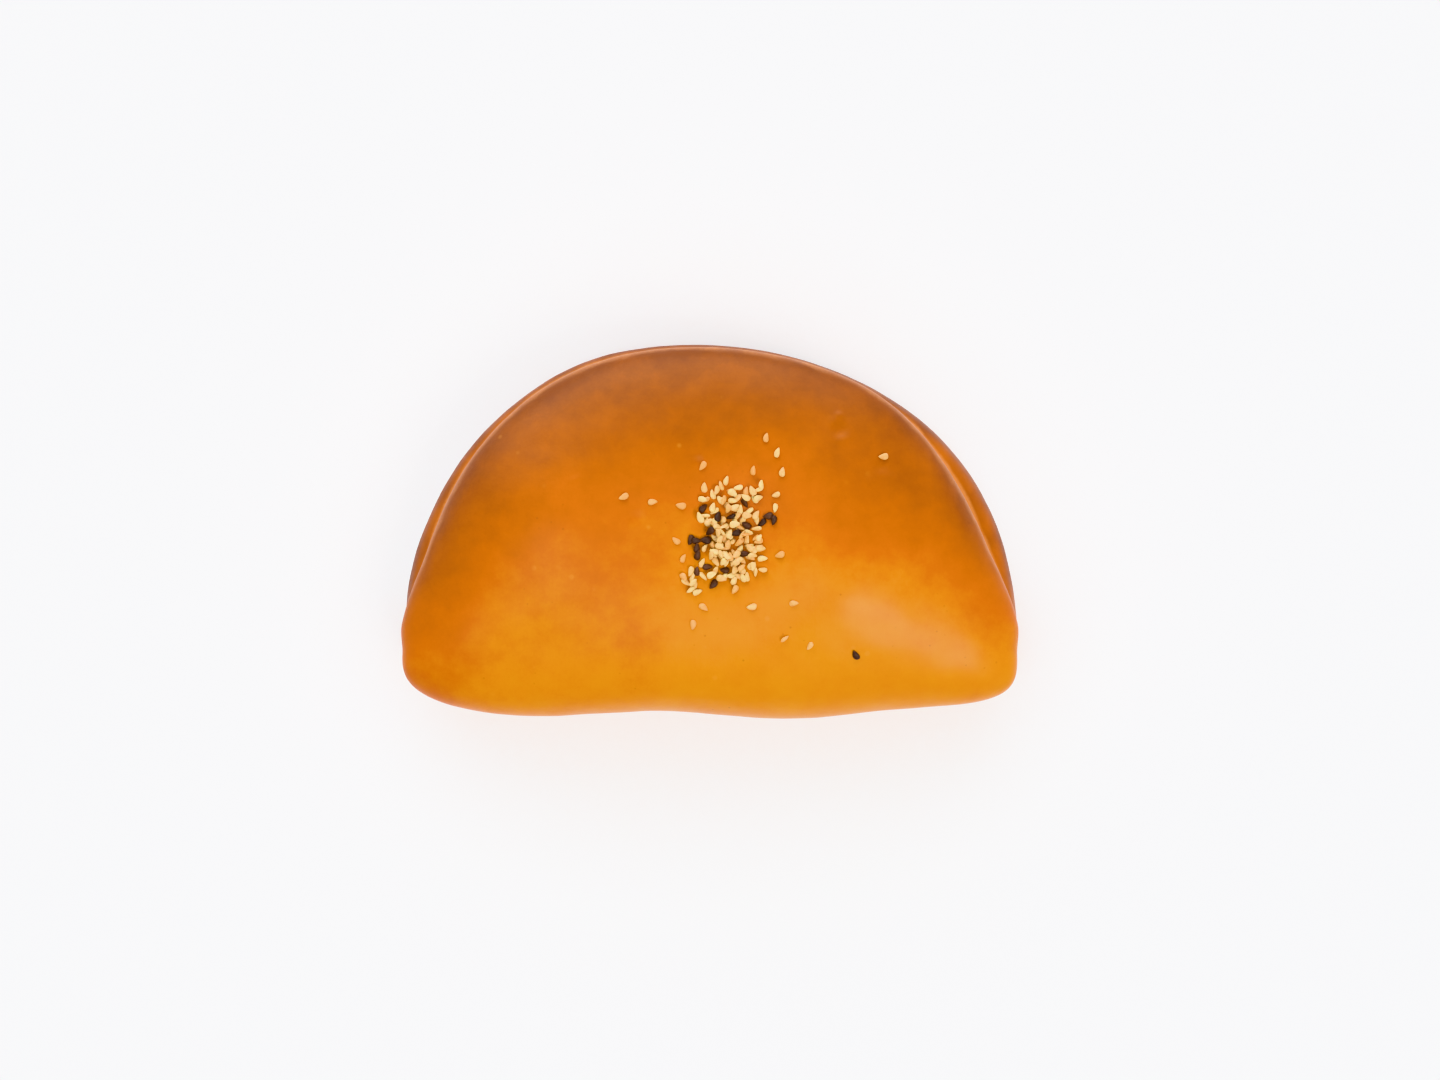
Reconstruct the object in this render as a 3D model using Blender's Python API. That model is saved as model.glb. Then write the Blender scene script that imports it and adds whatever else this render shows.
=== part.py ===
"""A folded cheese bun: one round of soft dough laid over its filling and baked as a half moon.

The bun is one closed solid. Seen from above it is a D, with the straight fold in front, at -Y, and the round
rim behind. The dough's lower flap reaches a little further out than the upper one, and a crease parts their
two lips all along the rim. The crease closes at both corners, where the dough turns into the fold.

The shape is a rounded block whose points are moved. Its top becomes the crown, its sides become the lips
and the fold, and its underside becomes the flat base. Each upright section runs out from the bun's heart, the
point that the plan is drawn about. The origin is on the base, at the middle of the bounding box.
"""

import math

import bmesh
import bpy
import numpy as np

MM = 0.001  # the sizes below are in millimetres

# The plan. The bun is widest along one line, with the rim behind that line and the fold before it.
HALF_LENGTH = 82.0
REAR_DEPTH = 80.5
FRONT_DEPTH = 19.1
LEFT_REAR_POWER, RIGHT_REAR_POWER = 2.0, 2.19
LEFT_CORNER_POWER, RIGHT_CORNER_POWER = 4.1, 5.4
REAR_LEAN, REAR_LEAN_POWER = 5.9, 3  # how far left of the middle the rim's rearmost point lies
HEART_BEHIND_WIDEST = 25.0
PLAN_SAMPLES = 6000
LEAST_RAY_COSINE = 0.5  # between a section's ray and the outline's normal

# The front edge of the fold waves a little, and its right end draws back.
WAVE_HEIGHT = 0.9
WAVE_LENGTH = 78.0
WAVE_CREST = 22.0
RIGHT_DRAW_BACK = 0.016

# The rim spreads further than the fold at both ends, from one line to another, counted from the widest line.
LEFT_END_SPREAD, RIGHT_END_SPREAD = 1.4, 1.4
END_SPREAD_FROM, END_SPREAD_FULL = -3.0, 5.5

# How far the lower flap reaches past the upper one: all along the rim, and more at each side.
REACH_ALL_ROUND = 1.65
RIGHT_REACH, RIGHT_REACH_AT, RIGHT_REACH_SPREAD = 4.65, math.radians(6.5), math.radians(27)
LEFT_REACH, LEFT_REACH_AT, LEFT_REACH_SPREAD = 3.3, math.radians(215), math.radians(68)

# The crease is fully open behind one line and closed before the other, and the lips have wholly turned into
# the fold before a third. All are counted from the widest line.
CREASE_OPEN_FROM = 27.5
CREASE_CLOSED_AT = -6.0
FOLDING_FROM = 0.0
FOLDED_FULLY = -24.0

# Heights of a section at the middle of the length.
CROWN_HEIGHT = 42.0
UPPER_LIP_HEIGHT = 27.0
CREASE_HEIGHT = 18.8
LOWER_LIP_HEIGHT = 9.6
FOLD_TOP, FOLD_MIDDLE, FOLD_BOTTOM = 22.5, 19.5, 16.0  # the fold's front is upright from top to bottom
END_TAPER = 0.10
# The upper lip and the crease rise and fall a little along the rim. Each swing has its height, the number of
# waves in a full turn, and where they start.
UPPER_LIP_SWING = (0.9, 2, 0.6)
CREASE_SWING = (0.7, 3, -0.4)

# Depths of the rounded lips, and the angle at which they meet in the crease.
UPPER_LIP_DEPTH = 6.2
LOWER_EDGE_DEPTH = 9.0
FOLD_EDGE_DEPTH = 13.0
CREASE_MEETING_ANGLE = math.radians(85)

# The crown is a flattened dome. Its inner contours are ellipses that turn into the plan further out.
RIM_CROWN_POWER, FOLD_CROWN_POWER = 2.8, 2.7
CROWN_FALL = 2.15
CROWN_GRID_SHARE = 0.87
INNER_HALF_LENGTH, INNER_HALF_DEPTH = 80.0, 49.0
CONTOUR_POWER = 3.0

# The crown rises in two pillows, and dips between them where the seeds were pressed on.
# Each swelling has its X, its Y from the heart, its height and its spread.
SWELLINGS = (
    (-46.0, 8.0, 3.0, 20.0),
    (37.0, -8.0, 3.9, 22.0),
    (5.0, 4.0, -2.2, 15.0),
)
SWELLING_FOOT, SWELLING_FULL = 19.5, 34.2  # the swellings fade out from one height down to the other

# The block, from -1 to 1: its cells along each level edge, and its rows down the sides.
CELLS_ALONG_EDGE = 24
ROWS_DOWN_SIDE = 20
BLOCK_TOLERANCE = 1e-5

# Shares of the side's rows, from the crown's edge down to the base.
UPPER_LIP_TOP_ENDS = 0.30
CREASE_SHARE = 0.50
LOWER_LIP_TOP_ENDS = 0.70

CRUST_COLOUR = (0.62, 0.19, 0.02, 1.0)
CRUST_ROUGHNESS = 0.45


def smooth_step(value, low, high):
    """Eases from 0 at low to 1 at high, and stays there beyond them."""
    held = np.clip((value - low) / (high - low), 0.0, 1.0)
    return held * held * (3.0 - 2.0 * held)


def bell(value, middle, spread):
    """A bell curve of height 1."""
    return np.exp(-(((value - middle) / spread) ** 2))


def signed_power(value, power):
    return np.sign(value) * np.abs(value) ** power


def swing(angle, height, waves, start):
    return height * np.sin(waves * angle + start)


class Plan:
    """The lower flap's outline, looked up by the share of its length, counted anticlockwise."""

    def __init__(self):
        turn = np.linspace(0.0, 2.0 * math.pi, PLAN_SAMPLES)
        across, along = np.cos(turn), np.sin(turn)
        front = along < 0.0
        corner_power = np.where(across < 0.0, LEFT_CORNER_POWER, RIGHT_CORNER_POWER)
        rear_power = np.where(across < 0.0, LEFT_REAR_POWER, RIGHT_REAR_POWER)
        power = np.where(front, corner_power, rear_power)
        depth = np.where(front, FRONT_DEPTH, REAR_DEPTH)
        x = HALF_LENGTH * signed_power(across, 2.0 / power)
        y = depth * signed_power(along, 2.0 / power)
        x -= REAR_LEAN * np.clip(y / REAR_DEPTH, 0.0, 1.0) ** REAR_LEAN_POWER
        y += self.front_edge_shift(x) * np.clip(-y / FRONT_DEPTH, 0.0, 1.0)
        x, y = self.started_beside_heart(x, y - HEART_BEHIND_WIDEST)
        length = np.concatenate([[0.0], np.cumsum(np.hypot(np.diff(x), np.diff(y)))])
        self.share, self.x, self.y = length / length[-1], x, y
        self.normal_x = np.gradient(y, length)
        self.normal_y = -np.gradient(x, length)

    @staticmethod
    def front_edge_shift(x):
        wave = -WAVE_HEIGHT * np.cos(2.0 * math.pi * (x - WAVE_CREST) / WAVE_LENGTH)
        return wave + RIGHT_DRAW_BACK * np.clip(x - WAVE_CREST, 0.0, None)

    @staticmethod
    def started_beside_heart(x, y):
        """Rolls the closed outline so that it starts on the right, level with the heart."""
        x, y = x[:-1], y[:-1]
        start = int(np.argmin(np.where(x > 0.0, np.abs(y), np.inf)))
        x, y = np.roll(x, -start), np.roll(y, -start)
        return np.append(x, x[0]), np.append(y, y[0])

    def look_up(self, share, values):
        return np.interp(share, self.share, values)


class Sections:
    """The upright sections at the given shares of the outline, as distance from the heart and height."""

    def __init__(self, plan, share):
        x, y = plan.look_up(share, plan.x), plan.look_up(share, plan.y)
        normal_x, normal_y = plan.look_up(share, plan.normal_x), plan.look_up(share, plan.normal_y)
        self.lower_reach = np.hypot(x, y)
        self.ray_x, self.ray_y = x / self.lower_reach, y / self.lower_reach
        angle = np.arctan2(y, x)
        self.slant = 1.0 / np.clip(self.ray_x * normal_x + self.ray_y * normal_y, LEAST_RAY_COSINE, 1.0)
        behind_widest = y + HEART_BEHIND_WIDEST
        self.openness = smooth_step(behind_widest, CREASE_CLOSED_AT, CREASE_OPEN_FROM)
        self.rimmed = smooth_step(behind_widest, FOLDED_FULLY, FOLDING_FROM)
        spread = np.where(self.ray_x < 0.0, LEFT_END_SPREAD, RIGHT_END_SPREAD) * self.ray_x**2
        self.lower_reach += spread * smooth_step(behind_widest, END_SPREAD_FROM, END_SPREAD_FULL)
        self.upper_reach = self.lower_reach - self.overhang(angle) * self.slant
        self.inner_reach = 1.0 / np.hypot(self.ray_x / INNER_HALF_LENGTH, self.ray_y / INNER_HALF_DEPTH)
        self.crown_power = self.rim_or_fold(RIM_CROWN_POWER, FOLD_CROWN_POWER)
        self.upper_lip = self.rim_or_fold(UPPER_LIP_HEIGHT + swing(angle, *UPPER_LIP_SWING), FOLD_TOP)
        self.crease = self.rim_or_fold(CREASE_HEIGHT + swing(angle, *CREASE_SWING), FOLD_MIDDLE)
        self.lower_lip = self.rim_or_fold(LOWER_LIP_HEIGHT, FOLD_BOTTOM)
        self.edge_depth = self.rim_or_fold(LOWER_EDGE_DEPTH, FOLD_EDGE_DEPTH)
        self.crease_depth = UPPER_LIP_DEPTH * self.openness

    def rim_or_fold(self, rim, fold):
        """A value that is one thing along the rim and another along the fold."""
        return fold + (rim - fold) * self.rimmed

    def overhang(self, angle):
        """How far the lower flap reaches past the upper one."""
        from_left = np.mod(angle, 2.0 * math.pi)
        right = RIGHT_REACH * bell(angle, RIGHT_REACH_AT, RIGHT_REACH_SPREAD)
        left = LEFT_REACH * bell(from_left, LEFT_REACH_AT, LEFT_REACH_SPREAD)
        return self.openness * (REACH_ALL_ROUND + right + left)

    def crown(self, out):
        """The upper surface, where out runs from 0 at the heart to 1 at the upper lip's outermost point."""
        contour = self.inner_reach + (self.upper_reach - self.inner_reach) * out**CONTOUR_POWER
        rise = np.clip(1.0 - out**self.crown_power, 0.0, None) ** (1.0 / CROWN_FALL)
        return out * contour, self.upper_lip + (CROWN_HEIGHT - self.upper_lip) * rise

    def crown_edge(self, share):
        """The crown's last stretch, from the edge of its grid to its outermost point."""
        first = np.arcsin(CROWN_GRID_SHARE ** (self.crown_power / 2.0))
        turn = first + (math.pi / 2.0 - first) * share
        return self.crown(np.sin(turn) ** (2.0 / self.crown_power))

    def upper_lip_underside(self, share):
        """From the upper lip's outermost point in to the crease."""
        turn = CREASE_MEETING_ANGLE * share
        depth = self.crease_depth * (1.0 - np.cos(turn)) * self.slant
        fall = (self.upper_lip - self.crease) * np.sin(turn) / math.sin(CREASE_MEETING_ANGLE)
        return self.upper_reach - depth, self.upper_lip - fall

    def lower_lip_top(self, share):
        """From the crease out to the lower lip's outermost point."""
        turn = CREASE_MEETING_ANGLE * (1.0 - share)
        full = 1.0 - math.cos(CREASE_MEETING_ANGLE)
        whole_depth = self.lower_reach - self.upper_reach + self.crease_depth * full * self.slant
        rise = (self.crease - self.lower_lip) * np.sin(turn) / math.sin(CREASE_MEETING_ANGLE)
        return self.lower_reach - whole_depth * (1.0 - np.cos(turn)) / full, self.lower_lip + rise

    def under_edge(self, share):
        """From the lower lip's outermost point, round and under to the base."""
        turn = math.pi / 2.0 * share
        reach = self.lower_reach - self.edge_depth * (1.0 - np.cos(turn)) * self.slant
        return reach, self.lower_lip * (1.0 - np.sin(turn))

    def side(self, down):
        """The whole side, where down runs from 0 at the crown's edge to 1 at the base."""
        stretches = (
            (0.0, UPPER_LIP_TOP_ENDS, self.crown_edge),
            (UPPER_LIP_TOP_ENDS, CREASE_SHARE, self.upper_lip_underside),
            (CREASE_SHARE, LOWER_LIP_TOP_ENDS, self.lower_lip_top),
            (LOWER_LIP_TOP_ENDS, 1.0, self.under_edge),
        )
        reach, height = np.zeros_like(down), np.zeros_like(down)
        for first, last, stretch in stretches:
            here = (down >= first) & (down <= last)
            found_reach, found_height = stretch(np.clip((down - first) / (last - first), 0.0, 1.0))
            reach, height = np.where(here, found_reach, reach), np.where(here, found_height, height)
        return reach, height

    def base(self, out):
        """The flat underside, where out runs from 0 at the heart to 1 at its edge."""
        reach, _ = self.side(np.ones_like(out))
        return out * reach, np.zeros_like(out)


def swelling(x, y):
    """How much the crown rises or dips at a point of the plan."""
    height = np.zeros_like(x)
    for middle_x, middle_y, rise, spread in SWELLINGS:
        height += rise * bell(x, middle_x, spread) * bell(y, middle_y, spread)
    return height


def bun_points(block):
    """Where each point of the block, whose corners are at 1 and -1, lies on the bun."""
    left_right, back_front, up_down = block.T
    disc_x = left_right * np.sqrt(1.0 - back_front**2 / 2.0)
    disc_y = back_front * np.sqrt(1.0 - left_right**2 / 2.0)
    out = np.hypot(disc_x, disc_y)
    share = np.mod(np.arctan2(disc_y, disc_x) / (2.0 * math.pi), 1.0)
    sections = Sections(Plan(), share)

    top, bottom = up_down > 1.0 - BLOCK_TOLERANCE, up_down < -1.0 + BLOCK_TOLERANCE
    crown_reach, crown_height = sections.crown(out * CROWN_GRID_SHARE)
    side_reach, side_height = sections.side((1.0 - up_down) / 2.0)
    base_reach, base_height = sections.base(out)
    reach = np.where(top, crown_reach, np.where(bottom, base_reach, side_reach))
    height = np.where(top, crown_height, np.where(bottom, base_height, side_height))

    x, y = reach * sections.ray_x, reach * sections.ray_y
    height += swelling(x, y) * smooth_step(height, SWELLING_FOOT, SWELLING_FULL)
    height *= 1.0 - END_TAPER * (x / HALF_LENGTH) ** 2
    return np.column_stack([x, y, height]) * MM


def block():
    """A cube from -1 to 1, cut into rows down its sides and into cells along its horizontal edges."""
    mesh = bmesh.new()
    bmesh.ops.create_cube(mesh, size=2.0)
    upright = [edge for edge in mesh.edges if edge.verts[0].co.z * edge.verts[1].co.z < 0.0]
    bmesh.ops.subdivide_edges(mesh, edges=upright, cuts=ROWS_DOWN_SIDE - 1)
    level = [edge for edge in mesh.edges if abs(edge.verts[0].co.z - edge.verts[1].co.z) < BLOCK_TOLERANCE]
    bmesh.ops.subdivide_edges(mesh, edges=level, cuts=CELLS_ALONG_EDGE - 1, use_grid_fill=True)
    return mesh


def put_origin_under_middle(points):
    """Moves the points so that the bounding box stands on the origin, centred."""
    low, high = points.min(axis=0), points.max(axis=0)
    return points - np.array([(low[0] + high[0]) / 2.0, (low[1] + high[1]) / 2.0, low[2]])


def crust_material():
    material = bpy.data.materials.new("crust")
    material.use_nodes = True
    shader = material.node_tree.nodes["Principled BSDF"]
    shader.inputs["Base Color"].default_value = CRUST_COLOUR
    shader.inputs["Roughness"].default_value = CRUST_ROUGHNESS
    shader.inputs["Metallic"].default_value = 0.0
    return material


def folded_bun():
    """The whole bun, as one object."""
    shape = block()
    shape.verts.ensure_lookup_table()
    points = put_origin_under_middle(bun_points(np.array([vertex.co for vertex in shape.verts], float)))
    for vertex, point in zip(shape.verts, points):
        vertex.co = point
    mesh = bpy.data.meshes.new("folded_bun")
    shape.to_mesh(mesh)
    shape.free()
    mesh.shade_smooth()
    mesh.materials.append(crust_material())
    bun = bpy.data.objects.new("folded_bun", mesh)
    bpy.context.scene.collection.objects.link(bun)
    return bun


def main():
    for leftover in list(bpy.data.objects):
        bpy.data.objects.remove(leftover)
    folded_bun()


main()
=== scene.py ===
"""A folded cheese bun with sesame on its crown, finished and set in a plain pale studio.

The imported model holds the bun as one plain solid. This script covers that solid with a finer skin of crust,
with tight lips along the crease, small wrinkles, dents and a browned, egg-washed finish. Then it lays the
white and the black sesame seeds on the crown, one by one, and sets up the floor, the light and the camera.

Lengths are in millimetres, apart from what the scene itself is given, which is in metres.
"""

import logging
import math
from collections.abc import Mapping, Sequence
from dataclasses import dataclass, field, replace
from enum import Enum

import bmesh
import bpy
import numpy as np
from mathutils import Matrix, Vector, noise
from mathutils.bvhtree import BVHTree


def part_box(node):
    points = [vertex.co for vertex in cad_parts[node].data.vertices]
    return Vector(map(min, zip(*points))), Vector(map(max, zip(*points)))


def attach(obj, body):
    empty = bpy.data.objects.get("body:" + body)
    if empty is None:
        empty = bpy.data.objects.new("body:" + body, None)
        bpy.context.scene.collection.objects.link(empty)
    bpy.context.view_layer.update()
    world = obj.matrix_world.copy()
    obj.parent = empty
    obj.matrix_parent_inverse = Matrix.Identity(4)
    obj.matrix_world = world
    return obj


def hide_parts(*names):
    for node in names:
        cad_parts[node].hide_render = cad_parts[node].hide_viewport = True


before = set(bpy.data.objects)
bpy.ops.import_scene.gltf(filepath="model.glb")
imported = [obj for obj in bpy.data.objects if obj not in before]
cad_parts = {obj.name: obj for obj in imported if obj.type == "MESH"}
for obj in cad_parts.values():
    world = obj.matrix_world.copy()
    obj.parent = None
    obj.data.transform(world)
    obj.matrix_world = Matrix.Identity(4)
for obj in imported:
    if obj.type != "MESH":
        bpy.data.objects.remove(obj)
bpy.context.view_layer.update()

MM = 0.001
FULL_TURN = 2.0 * math.pi

Array = np.ndarray
Colour = tuple[float, float, float, float]
log = logging.getLogger("cheese_bun")


def smooth_step(value: Array, low: float = 0.0, high: float = 1.0) -> Array:
    """Eases from 0 at low to 1 at high, and stays there beyond them."""
    held = np.clip((value - low) / (high - low), 0.0, 1.0)
    return held * held * (3.0 - 2.0 * held)


def bell(value: Array, middle: float, spread: float) -> Array:
    """A bell curve of height 1."""
    return np.exp(-(((value - middle) / spread) ** 2))


def signed_power(value: Array, power: float | Array) -> Array:
    """Raises the size of a value to a power and keeps its sign."""
    return np.sign(value) * np.abs(value) ** power


@dataclass(frozen=True)
class Unevenness:
    """Smooth noise over the skin.

    Attributes:
        amount: how far it swings to either side of 0.
        grain: the size of one lump of it, in millimetres.
        seed: shifts it, so that two layers differ.
    """

    amount: float
    grain: float
    seed: float

    def at(self, places: Array) -> Array:
        """The noise at places in millimetres, one row each."""
        shift = Vector((self.seed, 1.7 * self.seed, 2.3 * self.seed))
        return self.amount * np.array([noise.noise(Vector(place) / self.grain + shift) for place in places])


@dataclass(frozen=True)
class Patch:
    """A soft round patch of the plan, and how much it adds at its middle."""

    x: float
    y: float
    gain: float
    spread: float

    def at(self, x: Array, y: Array) -> Array:
        """How much it adds at places of the plan."""
        return self.gain * bell(x, self.x, self.spread) * bell(y, self.y, self.spread)


# ---- Shader nodes ----


class Value:
    """A number that varies over a surface. Arithmetic on it adds Math nodes."""

    def __init__(self, graph: "Graph", socket: bpy.types.NodeSocket) -> None:
        """Wraps the socket that carries the number."""
        self.graph = graph
        self.socket = socket

    def _math(self, operation: str, first: "Value | float", second: "Value | float") -> "Value":
        """Adds one Math node."""
        return self.graph.node("ShaderNodeMath", {"operation": operation}, {0: first, 1: second})

    def __add__(self, other: "Value | float") -> "Value":
        """The sum of two values."""
        return self._math("ADD", self, other)

    def __radd__(self, other: float) -> "Value":
        """The sum of a number and this value."""
        return self._math("ADD", other, self)

    def __sub__(self, other: "Value | float") -> "Value":
        """This value less another."""
        return self._math("SUBTRACT", self, other)

    def __rsub__(self, other: float) -> "Value":
        """A number less this value."""
        return self._math("SUBTRACT", other, self)

    def __mul__(self, other: "Value | float") -> "Value":
        """The product of two values."""
        return self._math("MULTIPLY", self, other)

    def __rmul__(self, other: float) -> "Value":
        """The product of a number and this value."""
        return self._math("MULTIPLY", other, self)

    def at_least(self, floor: "Value | float") -> "Value":
        """The larger of two values."""
        return self._math("MAXIMUM", self, floor)

    def eased(self, low: float, high: float) -> "Value":
        """Eases from 0 at low to 1 at high, like smooth_step."""
        sockets = {"Value": self, "From Min": low, "From Max": high}
        return self.graph.node("ShaderNodeMapRange", {"interpolation_type": "SMOOTHSTEP"}, sockets)


class Graph:
    """The nodes of one material or world, built by expressions."""

    def __init__(self, tree: bpy.types.NodeTree) -> None:
        """Takes a node tree over and empties it."""
        self.tree = tree
        tree.nodes.clear()

    def node(
        self,
        kind: str,
        settings: Mapping[str, object] | None = None,
        sockets: Mapping[str | int, object] | None = None,
        output: str | int = 0,
    ) -> Value:
        """Adds a node.

        Args:
            kind: the node's type.
            settings: the node's own properties; "stops" sets a colour ramp's.
            sockets: the values or links of its input sockets, by name, identifier or place.
            output: the output socket that is wanted.

        Returns:
            The wanted output.
        """
        node = self.tree.nodes.new(kind)
        for name, setting in (settings or {}).items():
            if name == "stops":
                self._set_stops(node.color_ramp, setting)
            else:
                setattr(node, name, setting)
        for name, given in (sockets or {}).items():
            socket = self._socket(node.inputs, name)
            if isinstance(given, Value):
                self.tree.links.new(given.socket, socket)
            else:
                socket.default_value = given
        return Value(self, self._socket(node.outputs, output))

    @staticmethod
    def _set_stops(ramp: bpy.types.ColorRamp, stops: Sequence[tuple[float, Colour]]) -> None:
        """Gives a colour ramp its stops, which come in rising order."""
        while len(ramp.elements) < len(stops):
            ramp.elements.new(1.0)
        for element, (place, colour) in zip(ramp.elements, stops):
            element.position = place
            element.color = colour

    @staticmethod
    def _socket(sockets: bpy.types.bpy_prop_collection, name: str | int) -> bpy.types.NodeSocket:
        """Finds a socket by its place, its identifier or its name."""
        if isinstance(name, int):
            return sockets[name]
        return next((socket for socket in sockets if socket.identifier == name), None) or sockets[name]

    def attribute(self, name: str) -> Value:
        """A number that the mesh stores at its points."""
        return self.node("ShaderNodeAttribute", {"attribute_name": name}, output="Fac")

    def place(self, stretch: tuple[float, float, float] = (1.0, 1.0, 1.0)) -> Value:
        """The point's place on the object, stretched along the axes."""
        spot = self.node("ShaderNodeTexCoord", output="Object")
        return self.node("ShaderNodeMapping", None, {"Vector": spot, "Scale": stretch})

    def grain(self, size: float, where: Value, detail: float = 2.0, roughness: float = 0.5) -> Value:
        """Cloudy noise round 0, whose lumps are about this many millimetres across."""
        sockets = {"Vector": where, "Scale": 1.0 / (size * MM), "Detail": detail, "Roughness": roughness}
        return self.node("ShaderNodeTexNoise", None, sockets, output=0) - 0.5

    def dots(self, where: Value, apart: float, edge: float, middle: float) -> Value:
        """Dots strewn this many millimetres apart, which rise from 0 at their edge to 1 in their middle."""
        sockets = {"Vector": where, "Scale": 1.0 / (apart * MM), "Randomness": 1.0}
        return self.node("ShaderNodeTexVoronoi", None, sockets, output="Distance").eased(edge, middle)

    def ramp(self, value: Value, stops: Sequence[tuple[float, Colour]]) -> Value:
        """The colour that belongs to a value."""
        return self.node("ShaderNodeValToRGB", {"stops": stops}, {"Fac": value}, output="Color")

    def mix(self, first: Value | Colour, second: Value | Colour, share: Value | float) -> Value:
        """The first colour turned into the second by a share from 0 to 1."""
        sockets = {"Factor_Float": share, "A_Color": first, "B_Color": second}
        return self.node("ShaderNodeMix", {"data_type": "RGBA"}, sockets, output="Result_Color")

    def bump(self, height: Value) -> Value:
        """The surface's normal, tilted by a relief whose height is in millimetres."""
        return self.node("ShaderNodeBump", None, {"Strength": 1.0, "Distance": MM, "Height": height})

    def principled(self, sockets: Mapping[str, object]) -> None:
        """Ends a material with a Principled shader that has these inputs."""
        shader = self.node("ShaderNodeBsdfPrincipled", None, sockets, output="BSDF")
        self.node_without_output("ShaderNodeOutputMaterial", shader)

    def node_without_output(self, kind: str, surface: Value) -> None:
        """Adds the node that ends the graph, and feeds its surface."""
        end = self.tree.nodes.new(kind)
        self.tree.links.new(surface.socket, end.inputs["Surface"])


def new_material(name: str) -> tuple[bpy.types.Material, Graph]:
    """An empty material, with the graph to fill it."""
    material = bpy.data.materials.new(name)
    material.use_nodes = True
    return material, Graph(material.node_tree)


# ---- The dough's form ----


@dataclass(frozen=True)
class Swing:
    """A line that rises and falls along the rim: its height, its waves in a turn, and where they start."""

    height: float
    waves: int
    start: float

    def at(self, angle: Array) -> Array:
        """How far the line has risen at this angle about the heart."""
        return self.height * np.sin(self.waves * angle + self.start)


@dataclass(frozen=True)
class Reach:
    """How far the lower flap reaches past the upper one at one side: how much, at which angle, how widely."""

    most: float
    middle: float
    spread: float

    def at(self, angle: Array) -> Array:
        """The reach at this angle about the heart, from 0 to a full turn."""
        off = np.mod(angle - self.middle + math.pi, FULL_TURN) - math.pi
        return self.most * bell(off, 0.0, self.spread)


@dataclass(frozen=True)
class DoughPlan:
    """The lower flap's outline: a D with its straight fold in front and its round rim behind."""

    half_length: float = 82.0
    rear_depth: float = 80.5
    front_depth: float = 19.1
    rear_powers: tuple[float, float] = (2.0, 2.19)
    corner_powers: tuple[float, float] = (4.1, 5.4)
    rear_lean: float = 5.9
    rear_lean_power: int = 3
    heart_behind_widest: float = 25.0
    wave_height: float = 0.9
    wave_length: float = 78.0
    wave_crest: float = 22.0
    right_draw_back: float = 0.016
    samples: int = 6000

    def outline(self) -> tuple[Array, Array]:
        """The outline about the bun's heart, anticlockwise, from the right, level with the heart.

        Returns:
            The x and the y of its points, the last the same as the first.
        """
        turn = np.linspace(0.0, FULL_TURN, self.samples)
        across, along = np.cos(turn), np.sin(turn)
        left = across < 0.0
        front = along < 0.0
        power = np.where(front, np.where(left, *self.corner_powers), np.where(left, *self.rear_powers))
        x = self.half_length * signed_power(across, 2.0 / power)
        y = np.where(front, self.front_depth, self.rear_depth) * signed_power(along, 2.0 / power)
        x -= self.rear_lean * np.clip(y / self.rear_depth, 0.0, 1.0) ** self.rear_lean_power
        y += self.front_edge_shift(x) * np.clip(-y / self.front_depth, 0.0, 1.0)
        x, y = x[:-1], y[:-1] - self.heart_behind_widest
        start = int(np.argmin(np.where(x > 0.0, np.abs(y), np.inf)))
        x, y = np.roll(x, -start), np.roll(y, -start)
        return np.append(x, x[0]), np.append(y, y[0])

    def front_edge_shift(self, x: Array) -> Array:
        """How the front edge of the fold waves, and how its right end draws back."""
        wave = -self.wave_height * np.cos(FULL_TURN * (x - self.wave_crest) / self.wave_length)
        return wave + self.right_draw_back * np.clip(x - self.wave_crest, 0.0, None)


@dataclass(frozen=True)
class DoughSizes:
    """The heights, depths and roundings of the bun's upright sections."""

    overhang: float = 1.65
    end_spread: tuple[float, float] = (1.4, 1.4)
    end_spread_over: tuple[float, float] = (-3.0, 5.5)
    right_reach: Reach = Reach(4.65, math.radians(6.5), math.radians(27))
    left_reach: Reach = Reach(3.3, math.radians(215), math.radians(68))
    crease_open_from: float = 27.5
    crease_closed_at: float = -6.0
    folded_from: float = 0.0
    folded_fully: float = -24.0
    crown_height: float = 42.0
    upper_lip_height: float = 27.0
    crease_height: float = 18.8
    lower_lip_height: float = 9.6
    fold_heights: tuple[float, float, float] = (22.5, 19.5, 16.0)
    end_taper: float = 0.10
    upper_lip_swing: Swing = Swing(0.9, 2, 0.6)
    crease_swing: Swing = Swing(0.7, 3, -0.4)
    crease_depth_swing: Swing = Swing(0.35, 11, 1.3)
    upper_lip_depth: float = 6.2
    seam_depth: float = 0.55
    seam_gone_at: float = -19.0
    lower_edge_depth: float = 9.0
    fold_edge_depth: float = 13.0
    meeting_angle: float = math.radians(85)
    rim_crown_power: float = 2.8
    fold_crown_power: float = 2.7
    crown_fall: float = 2.15
    crown_grid_share: float = 0.87
    inner_half_length: float = 80.0
    inner_half_depth: float = 49.0
    contour_power: float = 3.0
    least_ray_cosine: float = 0.5
    swellings: tuple[Patch, ...] = (
        Patch(-46.0, 8.0, 3.0, 20.0),
        Patch(37.0, -8.0, 3.9, 22.0),
        Patch(5.0, 4.0, -2.2, 15.0),
    )
    swelling_heights: tuple[float, float] = (19.5, 34.2)


@dataclass(frozen=True)
class SideRows:
    """Where each stretch of the side ends, as a share of its rows from the crown's edge to the base."""

    lip_top: float = 0.22
    crease: float = 0.47
    lower_lip: float = 0.78


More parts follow.
